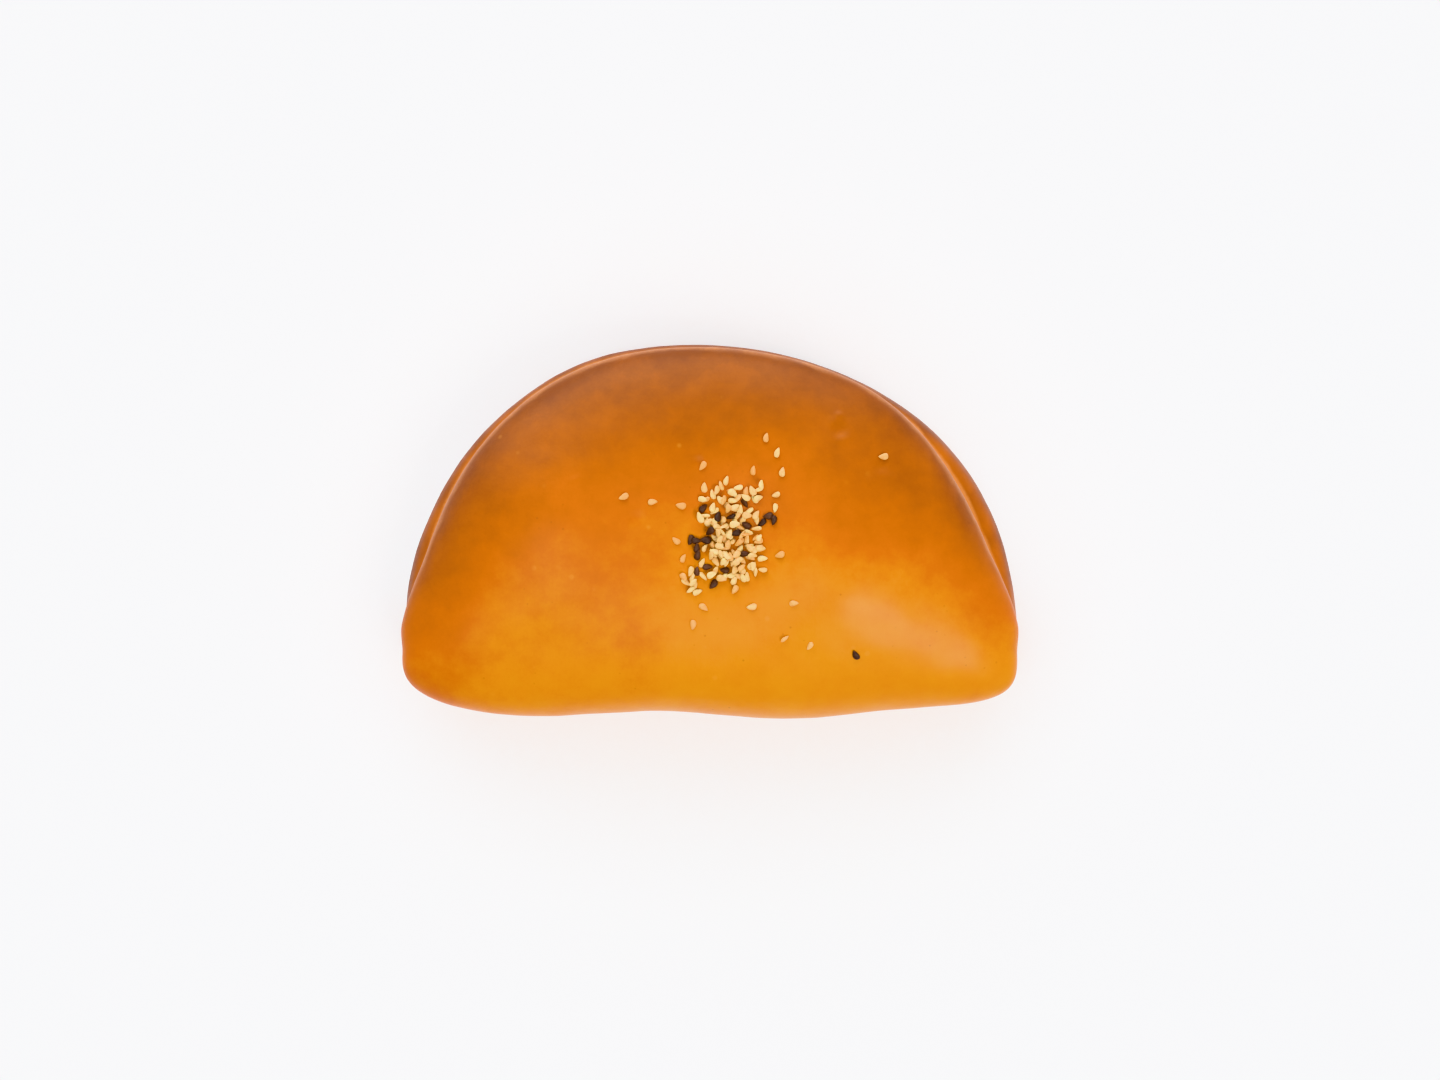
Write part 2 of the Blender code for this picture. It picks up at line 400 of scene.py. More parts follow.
class Sections:
    """The bun's upright sections, as distance from the heart and height."""

    def __init__(self, plan: DoughPlan, sizes: DoughSizes, rows: SideRows, share: Array) -> None:
        """Prepares the sections at the given shares of the outline's length."""
        self.sizes, self.rows = sizes, rows
        x, y = plan.outline()
        length = np.concatenate([[0.0], np.cumsum(np.hypot(np.diff(x), np.diff(y)))])
        normal_x = np.interp(share, length / length[-1], np.gradient(y, length))
        normal_y = np.interp(share, length / length[-1], -np.gradient(x, length))
        x, y = np.interp(share, length / length[-1], x), np.interp(share, length / length[-1], y)
        self.lower_reach = np.hypot(x, y)
        self.ray_x, self.ray_y = x / self.lower_reach, y / self.lower_reach
        self.angle = np.arctan2(y, x)
        cosine = np.clip(self.ray_x * normal_x + self.ray_y * normal_y, sizes.least_ray_cosine, 1.0)
        self.slant = 1.0 / cosine
        self.behind_widest = y + plan.heart_behind_widest
        self.openness = smooth_step(self.behind_widest, sizes.crease_closed_at, sizes.crease_open_from)
        self.rimmed = smooth_step(self.behind_widest, sizes.folded_fully, sizes.folded_from)
        spread = np.where(self.ray_x < 0.0, *sizes.end_spread) * self.ray_x**2
        self.lower_reach += spread * smooth_step(self.behind_widest, *sizes.end_spread_over)
        reach = sizes.overhang + sizes.right_reach.at(self.angle) + sizes.left_reach.at(self.angle)
        self.upper_reach = self.lower_reach - self.openness * reach * self.slant
        inner = np.hypot(self.ray_x / sizes.inner_half_length, self.ray_y / sizes.inner_half_depth)
        self.inner_reach = 1.0 / inner
        self.crown_power = self.rim_or_fold(sizes.rim_crown_power, sizes.fold_crown_power)
        fold_top, fold_middle, fold_bottom = sizes.fold_heights
        lip_height = sizes.upper_lip_height + sizes.upper_lip_swing.at(self.angle)
        crease_height = sizes.crease_height + sizes.crease_swing.at(self.angle)
        self.upper_lip = self.rim_or_fold(lip_height, fold_top)
        self.crease = self.rim_or_fold(crease_height, fold_middle)
        self.lower_lip = self.rim_or_fold(sizes.lower_lip_height, fold_bottom)
        self.edge_depth = self.rim_or_fold(sizes.lower_edge_depth, sizes.fold_edge_depth)
        open_depth = sizes.upper_lip_depth + sizes.crease_depth_swing.at(self.angle)
        seam = smooth_step(self.behind_widest, sizes.seam_gone_at, sizes.crease_closed_at)
        self.crease_depth = open_depth * self.openness + sizes.seam_depth * seam

    def rim_or_fold(self, rim: float | Array, fold: float | Array) -> Array:
        """A value that is one thing along the rim and another along the fold."""
        return fold + (rim - fold) * self.rimmed

    def crown(self, out: Array) -> tuple[Array, Array]:
        """The upper surface, where out runs from 0 at the heart to 1 at the upper lip's outermost point."""
        contour = self.inner_reach + (self.upper_reach - self.inner_reach) * out**self.sizes.contour_power
        rise = np.clip(1.0 - out**self.crown_power, 0.0, None) ** (1.0 / self.sizes.crown_fall)
        return out * contour, self.upper_lip + (self.sizes.crown_height - self.upper_lip) * rise

    def crown_edge(self, share: Array) -> tuple[Array, Array]:
        """The crown's last stretch, from the edge of its grid to its outermost point."""
        first = np.arcsin(self.sizes.crown_grid_share ** (self.crown_power / 2.0))
        turn = first + (math.pi / 2.0 - first) * share
        return self.crown(np.sin(turn) ** (2.0 / self.crown_power))

    def upper_lip_underside(self, share: Array) -> tuple[Array, Array]:
        """From the upper lip's outermost point in to the crease."""
        turn = self.sizes.meeting_angle * share
        depth = self.crease_depth * (1.0 - np.cos(turn)) * self.slant
        fall = (self.upper_lip - self.crease) * np.sin(turn) / math.sin(self.sizes.meeting_angle)
        return self.upper_reach - depth, self.upper_lip - fall

    def lower_lip_top(self, share: Array) -> tuple[Array, Array]:
        """From the crease out to the lower lip's outermost point."""
        meeting = self.sizes.meeting_angle
        turn = meeting * (1.0 - share)
        full = 1.0 - math.cos(meeting)
        whole_depth = self.lower_reach - self.upper_reach + self.crease_depth * full * self.slant
        rise = (self.crease - self.lower_lip) * np.sin(turn) / math.sin(meeting)
        return self.lower_reach - whole_depth * (1.0 - np.cos(turn)) / full, self.lower_lip + rise

    def under_edge(self, share: Array) -> tuple[Array, Array]:
        """From the lower lip's outermost point, round and under to the base."""
        turn = math.pi / 2.0 * share
        reach = self.lower_reach - self.edge_depth * (1.0 - np.cos(turn)) * self.slant
        return reach, self.lower_lip * (1.0 - np.sin(turn))

    def side(self, down: Array) -> tuple[Array, Array]:
        """The whole side, where down runs from 0 at the crown's edge to 1 at the base."""
        ends = (0.0, self.rows.lip_top, self.rows.crease, self.rows.lower_lip, 1.0)
        ways = (self.crown_edge, self.upper_lip_underside, self.lower_lip_top, self.under_edge)
        reach, height = np.zeros_like(down), np.zeros_like(down)
        for first, last, way in zip(ends, ends[1:], ways):
            here = (down >= first) & (down <= last)
            found_reach, found_height = way(np.clip((down - first) / (last - first), 0.0, 1.0))
            reach, height = np.where(here, found_reach, reach), np.where(here, found_height, height)
        return reach, height


@dataclass
class SkinPoints:
    """The skin's points and what the baking needs to know of each.

    Attributes:
        places: x, y and z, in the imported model's axes.
        inside_lip: how far the point lies inside the upper lip's outermost line.
        flap_reach: how far the lower flap reaches past that line in the point's section.
        down: its row on the side, from 0 at the crown's edge to 1 at the base; 0 on the crown, 1 below.
        openness: 1 where the crease is open, 0 where the dough is folded.
        behind_widest: how far behind the bun's widest line its section is.
        under: whether it lies on the flat underside.
    """

    places: Array
    inside_lip: Array
    flap_reach: Array
    down: Array
    openness: Array
    behind_widest: Array
    under: Array


@dataclass(frozen=True)
class Dough:
    """The bun's whole form, as the block whose points are moved onto it."""

    plan: DoughPlan = DoughPlan()
    sizes: DoughSizes = DoughSizes()
    rows: SideRows = SideRows()
    cells_along_edge: int = 140
    rows_down_side: int = 88
    tolerance: float = 1e-5

    def block(self) -> bmesh.types.BMesh:
        """A cube from -1 to 1, cut into rows down its sides and into cells along its level edges."""
        mesh = bmesh.new()
        bmesh.ops.create_cube(mesh, size=2.0)
        upright = [edge for edge in mesh.edges if edge.verts[0].co.z * edge.verts[1].co.z < 0.0]
        bmesh.ops.subdivide_edges(mesh, edges=upright, cuts=self.rows_down_side - 1)
        level = [edge for edge in mesh.edges if abs(edge.verts[0].co.z - edge.verts[1].co.z) < self.tolerance]
        bmesh.ops.subdivide_edges(mesh, edges=level, cuts=self.cells_along_edge - 1, use_grid_fill=True)
        return mesh

    def points(self, block: Array) -> SkinPoints:
        """Moves the block's points onto the bun.

        Args:
            block: the points of the block, one row each.

        Returns:
            The skin's points, in the block's order.
        """
        left_right, back_front, up_down = block.T
        disc_x = left_right * np.sqrt(1.0 - back_front**2 / 2.0)
        disc_y = back_front * np.sqrt(1.0 - left_right**2 / 2.0)
        out = np.hypot(disc_x, disc_y)
        share = np.mod(np.arctan2(disc_y, disc_x) / FULL_TURN, 1.0)
        sections = Sections(self.plan, self.sizes, self.rows, share)

        top, bottom = up_down > 1.0 - self.tolerance, up_down < -1.0 + self.tolerance
        down = np.where(top, 0.0, np.where(bottom, 1.0, (1.0 - up_down) / 2.0))
        reach, height = sections.side(down)
        crown_reach, crown_height = sections.crown(out * self.sizes.crown_grid_share)
        reach = np.where(top, crown_reach, np.where(bottom, reach * out, reach))
        height = np.where(top, crown_height, height)
        x, y = reach * sections.ray_x, reach * sections.ray_y
        raised = smooth_step(height, *self.sizes.swelling_heights)
        height += sum(swelling.at(x, y) for swelling in self.sizes.swellings) * raised
        height *= 1.0 - self.sizes.end_taper * (x / self.plan.half_length) ** 2
        return SkinPoints(
            places=self.fitted(np.column_stack([x, y, height])),
            inside_lip=(sections.upper_reach - reach) / sections.slant,
            flap_reach=(sections.lower_reach - sections.upper_reach) / sections.slant,
            down=down,
            openness=sections.openness,
            behind_widest=sections.behind_widest,
            under=bottom & (out < 1.0 - self.tolerance),
        )

    @staticmethod
    def fitted(points: Array) -> Array:
        """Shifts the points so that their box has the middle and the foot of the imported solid's box."""
        low, high = (np.array(corner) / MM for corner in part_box("folded_bun"))
        own_low, own_high = points.min(axis=0), points.max(axis=0)
        shift = (low + high - own_low - own_high) / 2.0
        shift[2] = low[2] - own_low[2]
        return points + shift


# ---- The crust's relief ----


class End(Enum):
    """The bun's two ends, by the side of the middle on which they lie."""

    LEFT = -1.0
    RIGHT = 1.0


@dataclass(frozen=True)
class Wrinkle:
    """A shallow groove in the side near one end, where the dough was bent.

    It runs from one place to another, each given as its distance behind the bun's widest line and its height.
    Its depth comes and goes over shares of its length.
    """

    end: End
    start: tuple[float, float]
    finish: tuple[float, float]
    depth: float
    half_width: float = 1.1
    wave: float = 0.5
    comes: tuple[float, float] = (-0.1, 0.3)
    goes: tuple[float, float] = (1.1, 0.6)

    def relief(self, skin: SkinPoints) -> Array:
        """How much each point of the skin sinks, as a negative height."""
        x, _, z = skin.places.T
        (start_y, start_z), (finish_y, finish_z) = self.start, self.finish
        along = (skin.behind_widest - start_y) / (finish_y - start_y)
        line = start_z + (finish_z - start_z) * along + self.wave * np.sin(FULL_TURN * along + start_z)
        fade = smooth_step(along, *self.comes) * smooth_step(along, *self.goes)
        side = (x * self.end.value > 0.0) & ~skin.under
        return -self.depth * bell(z, line, self.half_width) * fade * side


@dataclass(frozen=True)
class Dent:
    """A small round dip in the crown, or a bump where its depth is negative.

    Its lip's place and width are shares of its radius.
    """

    x: float
    y: float
    radius: float
    depth: float
    lip: float = 0.25
    lip_place: float = 1.7
    lip_width: float = 0.6
    lowest_row: float = 0.5

    def relief(self, skin: SkinPoints) -> Array:
        """How much each point of the skin rises."""
        x, y, _ = skin.places.T
        off = np.hypot(x - self.x, y - self.y) / self.radius
        rise = self.lip * bell(off, self.lip_place, self.lip_width) - bell(off, 0.0, 1.0)
        return self.depth * rise * (skin.down < self.lowest_row)


@dataclass(frozen=True)
class CrustRelief:
    """Everything that makes the crust uneven, as heights along its normal."""

    wrinkles: tuple[Wrinkle, ...] = (
        Wrinkle(End.RIGHT, (-16.0, 23.5), (-2.0, 20.5), 0.30, 1.3),
        Wrinkle(End.RIGHT, (-15.0, 12.0), (-1.0, 15.0), 0.30, 1.3),
        Wrinkle(End.RIGHT, (-18.0, 7.5), (-4.0, 6.5), 0.25, 1.1),
        Wrinkle(End.LEFT, (-16.0, 22.5), (-2.0, 20.0), 0.30, 1.3),
        Wrinkle(End.LEFT, (-14.0, 11.0), (0.0, 14.5), 0.30, 1.2),
    )
    dents: tuple[Dent, ...] = (
        Dent(-3.2, 17.6, 1.2, 0.35, 0.1),
        Dent(44.6, 16.6, 1.5, 0.35, 0.1),
        Dent(34.0, 30.0, 0.9, -0.3, 0.0),
        Dent(34.0, 26.0, 1.6, 0.35),
        Dent(47.5, 13.5, 1.2, -0.2, 0.0),
        Dent(42.0, 12.6, 1.3, -0.2, 0.0),
        Dent(-19.0, 3.0, 1.4, 0.25),
        Dent(-35.0, 13.0, 0.8, -0.2, 0.0),
        Dent(44.0, 5.0, 0.8, -0.25, 0.0),
        Dent(61.0, -1.0, 1.0, -0.25, 0.0),
    )
    undulation: Unevenness = Unevenness(0.42, 26.0, 3.1)
    ripple: Unevenness = Unevenness(0.10, 7.0, 8.4)
    fold_waves: Unevenness = Unevenness(1.3, 19.0, 6.1)
    fold_waves_between: tuple[float, float] = (19.0, 12.0)
    calm_below: float = 7.0
    underside_rise: float = 0.35
    underside_lumps: tuple[Unevenness, ...] = (Unevenness(1.0, 6.0, 5.7), Unevenness(0.4, 2.0, 9.2))

    def heights(self, skin: SkinPoints) -> Array:
        """The crust's relief.

        Args:
            skin: the bun's smooth skin.

        Returns:
            How far each point moves out along the skin's normal.
        """
        places = skin.places
        fold = (1.0 - skin.openness) * smooth_step(places[:, 2], *self.fold_waves_between)
        height = self.undulation.at(places) + self.ripple.at(places) + self.fold_waves.at(places) * fold
        height *= smooth_step(places[:, 2], 0.0, self.calm_below)
        return height + sum(feature.relief(skin) for feature in (*self.wrinkles, *self.dents))

    def underside(self, skin: SkinPoints) -> Array:
        """How far each point of the flat underside is lifted off the floor."""
        rough = sum(lumps.at(skin.places) for lumps in self.underside_lumps)
        return self.underside_rise * np.clip(rough, 0.0, None) * skin.under


@dataclass(frozen=True)
class Baking:
    """How the oven has coloured the skin, with painted shade and light, as numbers from 0 to 1 at its points.

    A pair of places says where a change starts and where it is complete.
    """

    golden: float = 0.19
    # Round patches that darken or lighten the crown: partly uneven browning, partly painted shade and painted
    # light.
    browning_and_shading_patches: tuple[Patch, ...] = (
        Patch(-42.0, -26.0, 0.08, 20.0),
        Patch(42.0, 8.0, 0.11, 17.0),
        Patch(36.0, -26.0, -0.06, 16.0),
        Patch(-6.0, 26.0, 0.05, 16.0),
        Patch(-40.0, 8.0, 0.06, 24.0),
        Patch(-22.0, -28.0, 0.07, 15.0),
        Patch(4.0, 2.0, -0.05, 16.0),
    )
    # Darker towards the rear: partly browning, partly painted shade.
    rear_browning_and_shade: float = 0.50
    rear_between: tuple[float, float] = (-45.0, 55.0)
    side_gain: float = 0.18
    side_width: float = 20.0
    side_between: tuple[float, float] = (-14.0, 16.0)
    rim_gain: float = 0.13
    rim_width: float = 5.0
    rim_wander: Unevenness = Unevenness(0.8, 13.0, 4.4)
    end_gains: tuple[float, float] = (0.22, 0.04)
    end_between: tuple[float, float] = (50.0, 80.0)
    lower_flap: float = 0.68
    lower_flap_wander: Unevenness = Unevenness(0.15, 8.0, 6.6)
    lower_flap_rows: float = 0.05
    # A darker band along the sides' outermost line, weaker on the fold: painted shade.
    outline_painted_shade: float = 0.34
    outline_shade_width: float = 1.3
    outline_shade_squeeze: float = 0.4
    fold_outline_shade_share: float = 0.1
    pale_lip: float = 0.48
    pale_lip_between: tuple[float, float] = (2.0, 0.2)
    pale_lip_wander: Unevenness = Unevenness(0.5, 7.0, 1.3)
    pale_rows_off_crease: float = 0.06
    pale_strip: float = 0.5
    pale_strip_share: float = 0.17
    pale_strip_edge: float = 0.9
    pale_strip_wander: Unevenness = Unevenness(0.45, 9.0, 2.2)
    pale_strip_mottle: Unevenness = Unevenness(1.0, 5.0, 7.7)
    pale_strip_mottling: float = 0.3
    pale_foot: float = 0.20
    pale_foot_between: tuple[float, float] = (6.5, 1.0)
    pale_fold_foot: float = 0.58
    pale_fold_foot_between: tuple[float, float] = (17.0, 1.0)
    pale_foot_wander: Unevenness = Unevenness(1.5, 16.0, 3.7)
    wash_between: tuple[float, float] = (4.0, 13.0)
    wash_rows_off_crease: float = 0.12
    wash_lip_loss: float = 0.5
    wash_lip_width: float = 4.0

    def browning_and_shade(self, skin: SkinPoints, rows: SideRows) -> Array:
        """How brown the crust is, with painted shade and light: least on the fold, most along the rim's upper
        lip.
        """
        x, y, _ = skin.places.T
        inside_lip = np.clip(skin.inside_lip, 0.0, None)
        rear = self.rear_browning_and_shade * smooth_step(y, *self.rear_between)
        side = self.side_gain * bell(inside_lip, 0.0, self.side_width)
        side *= smooth_step(skin.behind_widest, *self.side_between)
        uneven = 1.0 + self.rim_wander.at(skin.places)
        rim = self.rim_gain * uneven * bell(inside_lip, 0.0, self.rim_width * uneven)
        left = smooth_step(-x, *self.end_between) * self.end_gains[0]
        right = smooth_step(x, *self.end_between) * self.end_gains[1]
        crown = self.golden + rear + side + rim * skin.openness + left + right
        crown += sum(shading_patch.at(x, y) for shading_patch in self.browning_and_shading_patches)
        below = smooth_step(skin.down, rows.crease, rows.crease + self.lower_flap_rows) * skin.openness
        flap = self.lower_flap + self.lower_flap_wander.at(skin.places)
        # Darkens a band along the sides' outermost line, weaker on the fold: painted shade.
        inside_edge = skin.inside_lip + skin.flap_reach
        inside_edge *= np.where(skin.down > rows.lower_lip, self.outline_shade_squeeze, 1.0)
        edge = self.outline_painted_shade * bell(inside_edge, 0.0, self.outline_shade_width) * ~skin.under
        edge *= self.fold_outline_shade_share + (1.0 - self.fold_outline_shade_share) * skin.openness
        return np.clip(crown + (flap - crown) * below + edge, 0.0, 1.0)

    def paleness(self, skin: SkinPoints, rows: SideRows) -> Array:
        """How far the dough was shielded from the heat: in the crease, and round the foot."""
        inside_lip = np.clip(skin.inside_lip, 0.0, None) * (1.0 + self.pale_lip_wander.at(skin.places))
        lip = self.pale_lip * smooth_step(inside_lip, *self.pale_lip_between)
        shade = smooth_step(skin.down, rows.lip_top, rows.crease - self.pale_rows_off_crease)
        under_lip = self.pale_lip + (1.0 - self.pale_lip) * shade
        lip = np.where(skin.down < rows.lip_top, lip, under_lip) * (skin.down <= rows.crease)
        width = self.pale_strip + self.pale_strip_share * skin.flap_reach
        width *= 1.0 + self.pale_strip_wander.at(skin.places)
        strip = smooth_step(-skin.inside_lip - width, self.pale_strip_edge, -self.pale_strip_edge)
        strip *= 1.0 - self.pale_strip_mottling * self.pale_strip_mottle.at(skin.places) ** 2
        crease = np.maximum(lip, strip * (skin.down > rows.crease)) * skin.openness
        crease *= (skin.down > 0.0) & (skin.down < rows.lower_lip)
        height = skin.places[:, 2] + self.pale_foot_wander.at(skin.places)
        foot = self.pale_foot * smooth_step(height, *self.pale_foot_between)
        fold_foot = self.pale_fold_foot * smooth_step(height, *self.pale_fold_foot_between)
        return np.maximum(crease, foot + fold_foot * (1.0 - skin.openness)) * ~skin.under

    def egg_wash(self, skin: SkinPoints, rows: SideRows) -> Array:
        """How much egg wash the brush left: all over the crown, little in the crease and at the foot."""
        above_foot = smooth_step(skin.places[:, 2], *self.wash_between)
        crease = skin.openness * bell(skin.down, rows.crease, self.wash_rows_off_crease)
        lip = self.wash_lip_loss * skin.openness * bell(skin.inside_lip, 0.0, self.wash_lip_width)
        return np.clip(above_foot * (1.0 - crease) * (1.0 - lip), 0.0, 1.0) * ~skin.under


# ---- Finishes ----


@dataclass(frozen=True)
class CrustFinish:
    """Baked crust brushed with egg: its colours from least to most browned, its gloss and its skin.

    Sizes and reliefs are in millimetres. A toast is how far a noise shifts the browning.
    """

    colours: tuple[tuple[float, Colour], ...] = (
        (0.00, (0.560, 0.225, 0.008, 1.0)),
        (0.25, (0.515, 0.172, 0.004, 1.0)),
        (0.45, (0.428, 0.103, 0.003, 1.0)),
        (0.65, (0.328, 0.080, 0.004, 1.0)),
        (0.85, (0.226, 0.054, 0.006, 1.0)),
        (1.00, (0.165, 0.038, 0.007, 1.0)),
    )
    pale_dough: Colour = (0.500, 0.190, 0.058, 1.0)
    base_brown: Colour = (0.300, 0.120, 0.032, 1.0)
    base_pale: Colour = (0.520, 0.270, 0.095, 1.0)
    speck: Colour = (0.230, 0.060, 0.010, 1.0)
    fleck: Colour = (0.640, 0.300, 0.060, 1.0)
    washed_roughness: float = 0.50
    dry_roughness: float = 0.80
    coat: float = 0.42
    coat_roughness: float = 0.31
    bend_of_light: float = 1.34
    glint: Colour = (1.0, 0.60, 0.20, 1.0)
    cloud_size: float = 15.0
    mottle_size: float = 4.0
    skin_size: float = 0.7
    cloud_toast: float = 0.32
    mottle_toast: float = 0.20
    skin_toast: float = 0.07
    speck_spacing: float = 2.6
    speck_share: float = 0.45
    fleck_spacing: float = 6.5
    fleck_share: float = 0.30
    peel_size: float = 1.9
    peel_relief: float = 0.05
    mottle_relief: float = 0.06
    skin_relief: float = 0.02
    brush_stretch: tuple[float, float, float] = (0.75, 0.06, 0.2)
    brush_relief: float = 0.035
    pore_spacing: float = 1.1
    pore_relief: float = 0.012
    crumb_size: float = 0.35
    crumb_relief: float = 0.05

    def material(self) -> bpy.types.Material:
        """Builds the crust's material."""
        material, graph = new_material("crust")
        browning_and_shade, pale = graph.attribute("browning_and_shade"), graph.attribute("paleness")
        washed, under = graph.attribute("egg_wash"), graph.attribute("underside")
        spot = graph.place()
        cloud = graph.grain(self.cloud_size, spot, detail=3.0)
        mottle = graph.grain(self.mottle_size, spot, detail=3.0, roughness=0.6)
        skin = graph.grain(self.skin_size, spot, detail=2.0)

        toast = browning_and_shade + cloud * self.cloud_toast + mottle * self.mottle_toast + skin * self.skin_toast
        crust = graph.ramp(toast, self.colours)
        ragged = (mottle * 0.5 + skin * 0.3) * pale * (1.0 - pale) * 4.0
        crust = graph.mix(crust, self.pale_dough, (pale + ragged).eased(0.12, 0.88))
        specks = graph.dots(spot, self.speck_spacing, 0.16, 0.06) * graph.grain(9.0, spot).eased(0.02, 0.14)
        flecks = graph.dots(spot, self.fleck_spacing, 0.16, 0.06) * graph.grain(21.0, spot).eased(0.02, 0.14)
        crust = graph.mix(crust, self.speck, specks * washed * self.speck_share)
        crust = graph.mix(crust, self.fleck, flecks * washed * self.fleck_share)
        base = graph.mix(self.base_pale, self.base_brown, (0.55 + mottle * 1.6 + cloud * 1.4).eased(0.1, 0.9))

        dryness = self.dry_roughness - self.washed_roughness
        graph.principled({
            "Base Color": graph.mix(crust, base, under),
            "Roughness": self.dry_roughness - washed * dryness + mottle * 0.10 + skin * 0.06,
            "Coat Weight": washed * self.coat,
            "Coat Roughness": self.coat_roughness,
            "Coat IOR": self.bend_of_light,
            "IOR": self.bend_of_light,
            "Specular Tint": self.glint,
            "Normal": graph.bump(self.relief(graph, spot, mottle, skin, washed, under)),
        })
        return material

    def relief(
        self, graph: Graph, spot: Value, mottle: Value, skin: Value, washed: Value, under: Value
    ) -> Value:
        """The finest relief, in millimetres: a thin skin, the brush's streaks and tiny pores.

        Args:
            graph: the material's graph.
            spot: the point's place on the object.
            mottle: the crust's middle noise.
            skin: its fine noise.
            washed: how much egg wash there is.
            under: 1 on the underside.

        Returns:
            The height.
        """
        brushed = graph.grain(1.0, graph.place(self.brush_stretch), detail=2.0)
        pore = graph.dots(spot, self.pore_spacing, 0.20, 0.0)
        crumb = graph.grain(self.crumb_size, spot, detail=3.0, roughness=0.7)
        peel = graph.grain(self.peel_size, spot, detail=1.0)
        fine = mottle * self.mottle_relief + peel * self.peel_relief + skin * self.skin_relief
        fine = fine + brushed * washed * self.brush_relief - pore * self.pore_relief
        return fine + crumb * ((1.0 - washed) * self.crumb_relief + under * self.crumb_relief)


@dataclass(frozen=True)
class SeedFinish:
    """A seed's coat: its colours from the dullest to the brightest seed, its tip's colour and its gloss."""

    name: str
    dull: Colour
    bright: Colour
    tip: Colour
    roughness: float
    streak: float
    wrinkle: float
    subsurface: float = 0.0
    subsurface_radius: tuple[float, float, float] = (1.0, 0.55, 0.25)
    streak_size: float = 0.9
    wrinkle_size: float = 0.22

    def material(self) -> bpy.types.Material:
        """Builds the seeds' material."""
        material, graph = new_material(self.name)
        tone, tip = graph.attribute("tone"), graph.attribute("tip")
        spot = graph.place()
        cloud = graph.grain(self.streak_size, spot, detail=2.0)
        fine = graph.grain(self.wrinkle_size, spot, detail=2.0)
        colour = graph.mix(self.dull, self.bright, (tone + cloud * self.streak).eased(0.0, 1.0))
        colour = graph.mix(colour, self.tip, (tip + fine * 0.25).eased(0.62, 1.05) * 0.8)
        graph.principled({
            "Base Color": colour,
            "Roughness": self.roughness + cloud * 0.12,
            "IOR": 1.45,
            "Subsurface Weight": self.subsurface,
            "Subsurface Radius": self.subsurface_radius,
            "Subsurface Scale": 0.4 * MM,
            "Normal": graph.bump(cloud * self.wrinkle + fine * (self.wrinkle * 0.4)),
        })
        return material


@dataclass(frozen=True)
class PaperFinish:
    """The matt white of the studio's floor, which is faintly lit from below and clouded ever so slightly."""

    colour: Colour = (0.95, 0.905, 0.915, 1.0)
    roughness: float = 0.85
    glow: Colour = (0.14, 0.21, 0.215, 1.0)
    cloud_size: float = 180.0
    cloud_shade: float = 0.99

    def material(self) -> bpy.types.Material:
        """Builds the floor's material."""
        material, graph = new_material("studio_floor")
        cloud = graph.grain(self.cloud_size, graph.place(), detail=1.0)
        shade = tuple(part * self.cloud_shade for part in self.colour[:3]) + (1.0,)
        graph.principled({
            "Base Color": graph.mix(self.colour, shade, cloud.eased(-0.2, 0.2)),
            "Roughness": self.roughness,
            "Specular IOR Level": 0.0,
            "Emission Color": self.glow,
            "Emission Strength": 1.0,
        })
        return material


# ---- Pieces ----


def new_piece(name: str, mesh: bpy.types.Mesh, material: bpy.types.Material) -> bpy.types.Object:
    """Puts a finished mesh into the scene.

    Args:
        name: the piece's name.
        mesh: its mesh, whose points already lie where they belong.
        material: its only material.

    Returns:
        The new object, at the origin.
    """
    mesh.materials.append(material)
    mesh.shade_smooth()
    piece = bpy.data.objects.new(name, mesh)
    bpy.context.scene.collection.objects.link(piece)
    return piece


def count_triangles(piece: bpy.types.Object) -> int:
    """The number of triangles in a piece's mesh."""
    piece.data.calc_loop_triangles()
    return len(piece.data.loop_triangles)


